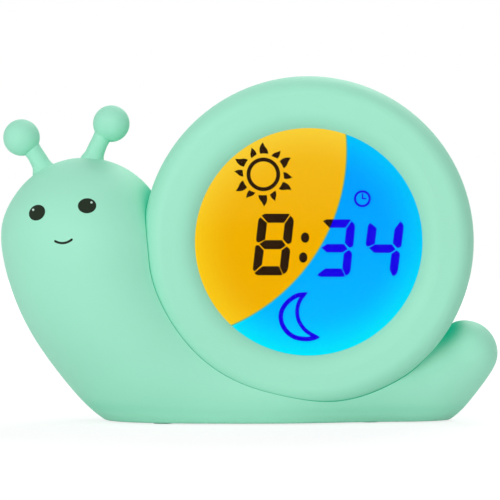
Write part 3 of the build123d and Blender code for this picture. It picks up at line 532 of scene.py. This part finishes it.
# Segments of the figure eight, upright: points to the right of and above its lower left corner,
# in pixels of the photograph
SEGMENTS = {
    "a": ((2.9, 59.6), (5.9, 61.3), (29.7, 61.3), (30.4, 60.5), (25.9, 52.6), (9.8, 52.6)),
    "b": ((31.5, 59.4), (34.4, 56.4), (35.4, 53.6), (35.4, 33.9), (34.6, 32.2), (32.2, 31.3),
          (30.2, 32.8), (26.8, 36.4), (26.8, 51.4)),
    "c": ((31.4, 28.6), (34.4, 25.9), (35.1, 24.0), (35.0, 7.1), (33.9, 3.4), (31.4, 1.3),
          (30.1, 2.6), (26.8, 8.7), (26.8, 25.0)),
    "d": ((2.3, 2.4), (8.9, 8.4), (10.2, 8.8), (25.0, 8.8), (26.2, 8.0), (29.9, 1.0),
          (29.4, 0.1), (5.7, 0.1), (3.2, 1.2)),
    "e": ((0.6, 29.8), (3.3, 29.8), (8.7, 24.6), (8.4, 10.6), (2.3, 4.3), (0.9, 4.8),
          (0.0, 6.8), (0.0, 28.2)),
    "f": ((1.7, 57.8), (8.8, 52.1), (8.7, 35.7), (3.0, 32.9), (1.1, 33.4), (0.0, 35.6),
          (0.0, 54.0), (0.3, 55.8)),
    "g": ((3.9, 31.2), (8.6, 34.6), (10.0, 34.9), (25.8, 34.9), (29.8, 30.0), (29.1, 29.0),
          (25.3, 26.2), (9.5, 26.2)),
}
SEGMENTS_OF = {"8": "abcdefg", "3": "abcdg", "4": "bcfg"}
SEGMENTS_SIZE = (35.3, 61.3)
INK_SPREAD = 0.2                # the photograph's softness widens the ink by this on each side
# Place of each figure's lower left corner, its width, height and slant
HOUR = {"corner": (252.2, 275.2), "width": 35.3, "height": 61.3, "slant": 0.113}
TENS = {"corner": (315.0, 276.8), "width": 35.1, "height": 57.3, "slant": 0.096}
UNITS = {"corner": (361.6, 277.4), "width": 35.6, "height": 57.7, "slant": 0.126}
COLON_DOTS = ((305.1, 237.6), (303.2, 257.5))
COLON_RADII = (4.2, 5.2)
DOT_POINTS = 36
RING_POINTS = 72


def widened(outline, by):
    """A convex clockwise outline with every edge moved outwards."""
    count = len(outline)
    moved = []
    for i, here in enumerate(outline):
        into = (Vector(here) - Vector(outline[i - 1])).normalized()
        out = (Vector(outline[(i + 1) % count]) - Vector(here)).normalized()
        normal = Vector((-into.y - out.y, into.x + out.x)).normalized()
        moved.append(Vector(here) + normal * by / normal.dot(Vector((-into.y, into.x))))
    return moved


def digit(figure, place):
    """Slanted seven-segment figure."""
    across = place["width"] / SEGMENTS_SIZE[0]
    up = place["height"] / SEGMENTS_SIZE[1]
    x0, y0 = place["corner"]
    parts = []
    for name in SEGMENTS_OF[figure]:
        outline = []
        for x, y in widened(SEGMENTS[name], INK_SPREAD):
            outline.append(spot((x0 + x * across + y * up * place["slant"], y0 - y * up)))
        parts.append(prism(list(reversed(outline)), SIGN_FRONT, SIGN_BACK))
    return parts


def ellipse(pixel, radii, count):
    """Outline of an upright ellipse on the display's picture."""
    turn = [2 * math.pi * i / count for i in range(count)]
    return [spot((pixel[0] + radii[0] * math.cos(a), pixel[1] - radii[1] * math.sin(a))) for a in turn]


def add_sign(name, parts):
    """Makes one piece of the display's ink from several (points, faces) pairs."""
    points, faces = joined(parts)
    add_piece(name, points, faces, INK)


add_sign("digit_hour", digit("8", HOUR))
add_sign("digit_tens", digit("3", TENS))
add_sign("digit_units", digit("4", UNITS))
dots = [ellipse(pixel, COLON_RADII, DOT_POINTS) for pixel in COLON_DOTS]
add_sign("colon", [prism(dot, SIGN_FRONT, SIGN_BACK) for dot in dots])

SUN_PIXEL = (263.35, 174.35)
SUN_RING = 14.85
SUN_STROKE = 3.9
# Flames of the sun: (distance from its centre, offset anticlockwise), from the foot round the tip
LARGE_FLAME = ((20.6, -4.9), (23.0, -4.7), (24.6, -4.0), (26.0, -3.1), (27.8, -1.6), (32.2, 0.6),
               (30.0, 2.2), (28.0, 3.2), (26.0, 3.8), (23.4, 3.9), (20.6, 3.2), (20.9, -0.6))
SMALL_FLAME = ((20.7, -4.3), (22.6, -4.7), (24.6, -4.6), (26.2, -4.2), (29.2, -3.0), (27.0, -1.5),
               (25.4, 0.0), (23.8, 1.3), (22.4, 1.9), (19.9, 2.3), (20.4, -1.4))
FLAMES = 12


def ring(pixel, radius, stroke):
    """Circle drawn with a stroke on the display's picture."""
    path = ellipse(pixel, (radius, radius), RING_POINTS)
    return ribbon(path, [stroke * PICTURE_PIXEL] * len(path), SIGN_FRONT, SIGN_BACK, True)


def sun():
    """Round sun with twelve flames, large and small by turns."""
    parts = [ring(SUN_PIXEL, SUN_RING, SUN_STROKE)]
    for index in range(FLAMES):
        angle = math.radians(90 + index * 360 / FLAMES)
        flame = LARGE_FLAME if index % 2 == 0 else SMALL_FLAME
        outline = []
        for out, side in flame:
            x = SUN_PIXEL[0] + out * math.cos(angle) - side * math.sin(angle)
            y = SUN_PIXEL[1] - out * math.sin(angle) - side * math.cos(angle)
            outline.append(spot((x, y)))
        parts.append(prism(outline, SIGN_FRONT, SIGN_BACK))
    return parts


add_sign("sun_sign", sun())

CLOCK_PIXEL = (362.35, 198.7)
CLOCK_RING = 7.35
CLOCK_STROKE = 2.3
CLOCK_HANDS = ((362.45, 193.2), (362.45, 198.5), (366.3, 198.5))
CLOCK_HAND_STROKE = 1.5


def clock_sign():
    """Small clock face with its two hands."""
    hands = [spot(pixel) for pixel in CLOCK_HANDS]
    widths = [CLOCK_HAND_STROKE * PICTURE_PIXEL] * len(hands)
    return [
        ring(CLOCK_PIXEL, CLOCK_RING, CLOCK_STROKE),
        ribbon(hands, widths, SIGN_FRONT, SIGN_BACK, False),
    ]


add_sign("clock_sign", clock_sign())

# Middle of the moon's line in pixels of the photograph, anticlockwise from its upper tip
MOON_BACK = ((304.4, 294.3), (297.0, 295.6), (289.5, 300.2), (283.4, 307.3), (280.8, 315.5),
             (282.3, 324.4), (287.5, 332.2), (295.3, 337.3), (304.8, 339.0), (311.5, 338.5), (316.6, 337.0))
MOON_FRONT = ((316.6, 337.0), (310.0, 333.6), (304.4, 329.2), (299.8, 322.8), (297.5, 316.0),
              (297.2, 310.0), (298.6, 303.6), (301.2, 298.2), (304.4, 294.3))
MOON_BACK_STROKE = 4.7
MOON_FRONT_STROKE = 4.0
MOON_STEPS = 5                  # points of the line between two that are given


def circle_through(a, b, c):
    """Centre and radius of the circle through three points."""
    ax, ay, bx, by, cx, cy = *a, *b, *c
    d = 2 * (ax * (by - cy) + bx * (cy - ay) + cx * (ay - by))
    a2, b2, c2 = ax * ax + ay * ay, bx * bx + by * by, cx * cx + cy * cy
    ux = (a2 * (by - cy) + b2 * (cy - ay) + c2 * (ay - by)) / d
    uy = (a2 * (cx - bx) + b2 * (ax - cx) + c2 * (bx - ax)) / d
    return (ux, uy), math.hypot(ax - ux, ay - uy)


def arc_through(start, via, end, count):
    """Points along the arc from one point through another to a third."""
    centre, radius = circle_through(start, via, end)
    angles = [math.degrees(math.atan2(p[1] - centre[1], p[0] - centre[0])) for p in (start, via, end)]
    sweep = (angles[2] - angles[0]) % 360
    if (angles[1] - angles[0]) % 360 > sweep:
        sweep -= 360
    return arc(centre, radius, angles[0], angles[0] + sweep, count)


def smooth_path(points, steps):
    """Catmull-Rom curve through points, without its last one."""
    ends = [2 * Vector(points[0]) - Vector(points[1]), 2 * Vector(points[-1]) - Vector(points[-2])]
    knots = [ends[0]] + [Vector(p) for p in points] + [ends[1]]
    path = []
    for a, b, c, d in zip(knots, knots[1:], knots[2:], knots[3:]):
        for step in range(steps):
            t = step / steps
            path.append(b + (c - a) * t / 2 + (2 * a - 5 * b + 4 * c - d) * t**2 / 2
                        + (3 * b - a - 3 * c + d) * t**3 / 2)
    return path


def moon():
    """Outline of a crescent moon."""
    back = smooth_path(MOON_BACK, MOON_STEPS)
    front = smooth_path(MOON_FRONT, MOON_STEPS)
    widths = [MOON_BACK_STROKE] * len(back) + [MOON_FRONT_STROKE] * len(front)
    path = [spot(pixel) for pixel in back + front]
    return [ribbon(path, [width * PICTURE_PIXEL for width in widths], SIGN_FRONT, SIGN_BACK, True)]


add_sign("moon_sign", moon())


# ---------------------------------------------------------------- face

PRINT_HEIGHT = 0.05 * MM
SKIN = BVHTree.FromObject(nodes["body_front"], bpy.context.evaluated_depsgraph_get())


def on_skin(pixel, height=PRINT_HEIGHT):
    """Point just above the head's surface where a pixel of the photograph shows it."""
    start, direction = sight_line(pixel)
    hit, normal, _, _ = SKIN.ray_cast(start, direction)
    if normal.y > 0:
        normal = -normal
    return hit + normal * height


def printed_disc(pixel, radii, tilt, height, laps, count):
    """Ellipse laid on the head's surface as laps of small faces, in pixels of the photograph."""
    turn = math.radians(tilt)
    points = [on_skin(pixel, height)]
    faces = []
    for lap in range(1, laps + 1):
        share = lap / laps
        for index in range(count):
            a = 2 * math.pi * index / count
            x, y = radii[0] * share * math.cos(a), radii[1] * share * math.sin(a)
            along = x * math.cos(turn) - y * math.sin(turn)
            up = x * math.sin(turn) + y * math.cos(turn)
            points.append(on_skin((pixel[0] + along, pixel[1] - up), height))
    for index in range(count):
        after = (index + 1) % count
        faces.append((0, 1 + index, 1 + after))
        for lap in range(laps - 1):
            inner, outer = 1 + lap * count, 1 + (lap + 1) * count
            faces.append((inner + index, outer + index, outer + after, inner + after))
    return points, faces


INK_SPECULAR = 0.12
INK_TONES = (0.85, 1.2)         # the ink's darkest and palest blots as shares of its colour
INK_GLOSS = 0.05                # half the spread of its roughness


def print_ink(name, colour, roughness):
    """Pad-printed ink with a faint unevenness and hardly any gloss."""
    make = Nodes(name)
    blot = make.noise(PRINT_SCALE)
    dark, pale = (shaded(colour, share) for share in INK_TONES)
    make.set(Base_Color=make.mix(blot, dark, pale))
    make.set(Roughness=make.ramp(blot, *MOST_NOISE, roughness - INK_GLOSS, roughness + INK_GLOSS))
    make.set(Specular_IOR_Level=INK_SPECULAR)
    return make.material


EYE_INK = print_ink("eye_ink", srgb(30, 42, 28), 0.5)
EYE_SHINE = print_ink("eye_shine", srgb(186, 214, 200), 0.5)
EYES = {
    "left": {"place": (37.1, 212.7), "radii": (8.6, 7.3), "tilt": 40, "shine": (33.3, 209.9)},
    "right": {"place": (87.1, 205.8), "radii": (9.2, 7.5), "tilt": 4, "shine": (91.4, 202.5)},
}
EYE_MESH = (7, 40)              # laps, and points in each
SHINE_RADII = (1.15, 1.15)
SHINE_MESH = (3, 20)
MOUTH_PIXELS = ((54.3, 240.6), (62.9, 243.1), (72.5, 238.8))
MOUTH_STROKE = 2.3
MOUTH_STEPS = 24
MOUTH_END = 0.45                # share of the stroke that is left at the line's ends


def add_eye(side, eye):
    """Dark eye with a small pale shine on it."""
    points, faces = printed_disc(eye["place"], eye["radii"], eye["tilt"], PRINT_HEIGHT, *EYE_MESH)
    add_piece(f"eye_{side}", points, faces, EYE_INK, smooth=True)
    points, faces = printed_disc(eye["shine"], SHINE_RADII, 0, 2 * PRINT_HEIGHT, *SHINE_MESH)
    add_piece(f"eye_shine_{side}", points, faces, EYE_SHINE, smooth=True)


def add_mouth():
    """Thin smile with narrow ends, laid on the head's surface."""
    path = arc_through(*MOUTH_PIXELS, MOUTH_STEPS)
    half = MOUTH_STROKE / 2
    points, faces = [], []
    for index, here in enumerate(path):
        before, after = path[max(index - 1, 0)], path[min(index + 1, len(path) - 1)]
        along = Vector((after[0] - before[0], after[1] - before[1])).normalized()
        taper = MOUTH_END if index in (0, len(path) - 1) else 1.0
        for side in (-half, half):
            x = here[0] - along.y * side * taper
            y = here[1] + along.x * side * taper
            points.append(on_skin((x, y)))
    for index in range(len(path) - 1):
        a = 2 * index
        faces.append((a, a + 2, a + 3, a + 1))
    add_piece("mouth", points, faces, EYE_INK, smooth=True)


for side, eye in EYES.items():
    add_eye(side, eye)
add_mouth()


# ---------------------------------------------------------------- signs on the rear buttons

SIGN_INK = print_ink("sign_ink", srgb(74, 128, 112), 0.5)
SIGN_SUNK = 0.03 * MM           # into the button's face
SIGN_RAISED = 0.04 * MM         # above it
SIGN_LINE = 0.45 * MM


def circle(centre, radius, count=32):
    """Outline of a circle, anticlockwise, in millimetres on a button's face."""
    turn = [2 * math.pi * i / count for i in range(count)]
    return [(centre[0] + radius * math.cos(a), centre[1] + radius * math.sin(a)) for a in turn]


def rays(count, near, far, half):
    """Short bars that point away from the middle."""
    bars = []
    for index in range(count):
        a = 2 * math.pi * index / count
        out, side = (math.cos(a), math.sin(a)), (-math.sin(a), math.cos(a))
        corners = ((near, -half), (far, -half), (far, half), (near, half))
        bars.append([(r * out[0] + w * side[0], r * out[1] + w * side[1]) for r, w in corners])
    return bars


# What is printed on each button: filled outlines and open lines, in millimetres seen from behind
BUTTON_SIGNS = {
    "clock_button": {"lines": [(circle((0, 0), 2.0), True), ([(0, 1.3), (0, 0), (1.0, 0)], False)]},
    "alarm_button": {
        "shapes": [
            arc((0, 0.6), 1.25, 0, 180, 16) + [(-1.35, -0.7), (-2.0, -1.3), (2.0, -1.3), (1.35, -0.7)],
            circle((0, -1.85), 0.42, 16),
        ],
    },
    "light_button": {"shapes": [circle((0, 0), 1.1)] + rays(8, 1.6, 2.4, 0.2)},
    "up_button": {"shapes": [[(-1.8, -1.0), (1.8, -1.0), (0, 1.7)]]},
    "down_button": {"shapes": [[(-1.8, 1.0), (0, -1.7), (1.8, 1.0)]]},
}


def add_button_sign(button, sign):
    """Prints a sign on the face of a rear button, so that it moves with the button."""
    low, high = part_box(button)
    middle = ((low.x + high.x) / 2, (low.z + high.z) / 2)
    front, back = high.y - SIGN_SUNK, high.y + SIGN_RAISED

    def placed(outline):
        return [(middle[0] - x * MM, middle[1] + z * MM) for x, z in outline]

    parts = [prism(list(reversed(placed(shape))), front, back) for shape in sign.get("shapes", ())]
    for line, closed in sign.get("lines", ()):
        parts.append(ribbon(placed(line), [SIGN_LINE] * len(line), front, back, closed))
    points, faces = joined(parts)
    add_piece(f"{button}_sign", points, faces, SIGN_INK, body=button)


for button, sign in BUTTON_SIGNS.items():
    add_button_sign(button, sign)


# ---------------------------------------------------------------- studio

FLOOR_HALF = 1.6                # half the floor's side; the backdrop beyond it is as white
FLOOR_TONE = 0.86
FLOOR_GLOW_SHARE = 0.62         # how much of what the camera sees of the floor is its glow
FLOOR_GLOW = 1.23               # up to FLOOR_NEAR from the clock
FLOOR_GLOW_FAR = 1.45           # from FLOOR_FAR on, where the lamps light the floor less
FLOOR_NEAR = 0.35
FLOOR_FAR = 1.1
ROOM_LIGHT = 0.45
SOFTBOX_SIZE = 0.9
SOFTBOX_DISTANCE = 1.6
SOFTBOX_AIM = Vector((0, 0, 0.06))
# Name, degrees to the right of the camera, degrees above it, watts. None stands straight
# ahead, where the display's window would mirror it.
SOFTBOXES = (
    ("key", -24, 5, 12.9),
    ("top", -20, 62, 2.0),
    ("fill", 26, 5, 1.6),
    ("rear", 160, 46, 9.5),
)


def seen_directly(tree):
    """1 for what the camera sees directly, in a mirror or through glass."""
    path = tree.nodes.new("ShaderNodeLightPath")
    seen = path.outputs["Is Camera Ray"]
    for ray in ("Is Glossy Ray", "Is Transmission Ray"):
        either = tree.nodes.new("ShaderNodeMath")
        either.operation = "MAXIMUM"
        tree.links.new(seen, either.inputs[0])
        tree.links.new(path.outputs[ray], either.inputs[1])
        seen = either.outputs[0]
    return seen


def make_world():
    """Even studio light, with a white backdrop for the camera."""
    world = bpy.data.worlds.new("world")
    world.use_nodes = True
    tree = world.node_tree
    background = tree.nodes["Background"]
    background.inputs["Color"].default_value = (1, 1, 1, 1)
    strength = tree.nodes.new("ShaderNodeMapRange")
    tree.links.new(seen_directly(tree), strength.inputs["Value"])
    strength.inputs["To Min"].default_value = ROOM_LIGHT
    strength.inputs["To Max"].default_value = 1.0
    tree.links.new(strength.outputs[0], background.inputs["Strength"])
    scene.world = world


def make_floor():
    """Pale floor that keeps a soft shadow and is otherwise as white as the backdrop."""
    quarters = ((-1, -1), (1, -1), (1, 1), (-1, 1))
    corners = [(x * FLOOR_HALF, y * FLOOR_HALF, 0) for x, y in quarters]
    mesh = bpy.data.meshes.new("floor")
    mesh.from_pydata(corners, [], [(0, 1, 2, 3)])
    floor = bpy.data.objects.new("floor", mesh)
    scene.collection.objects.link(floor)
    make = Nodes("floor")
    make.set(Base_Color=(FLOOR_TONE, FLOOR_TONE, FLOOR_TONE, 1), Roughness=0.9)
    tree = make.tree
    away = make.add("ShaderNodeVectorMath", {"operation": "LENGTH"}, i0=make.place())
    strength = make.ramp(away.outputs["Value"], FLOOR_NEAR, FLOOR_FAR, FLOOR_GLOW, FLOOR_GLOW_FAR)
    glow = make.add("ShaderNodeEmission", Color=(1, 1, 1, 1), Strength=strength)
    share = make.math("MULTIPLY", seen_directly(tree), FLOOR_GLOW_SHARE)
    mixed = make.add("ShaderNodeMixShader")
    tree.links.new(share, mixed.inputs[0])
    tree.links.new(make.shader.outputs[0], mixed.inputs[1])
    tree.links.new(glow.outputs[0], mixed.inputs[2])
    tree.links.new(mixed.outputs[0], tree.nodes["Material Output"].inputs["Surface"])
    mesh.materials.append(make.material)


def add_softbox(name, azimuth, elevation, power):
    """Square lamp that faces the clock."""
    data = bpy.data.lights.new(name, "AREA")
    data.size = SOFTBOX_SIZE
    data.energy = power
    lamp = bpy.data.objects.new(name, data)
    around, up = math.radians(azimuth), math.radians(elevation)
    away = Vector((math.sin(around) * math.cos(up), -math.cos(around) * math.cos(up), math.sin(up)))
    lamp.location = SOFTBOX_AIM + away * SOFTBOX_DISTANCE
    lamp.rotation_euler = away.to_track_quat("Z", "Y").to_euler()
    scene.collection.objects.link(lamp)


make_world()
make_floor()
for softbox in SOFTBOXES:
    add_softbox(*softbox)
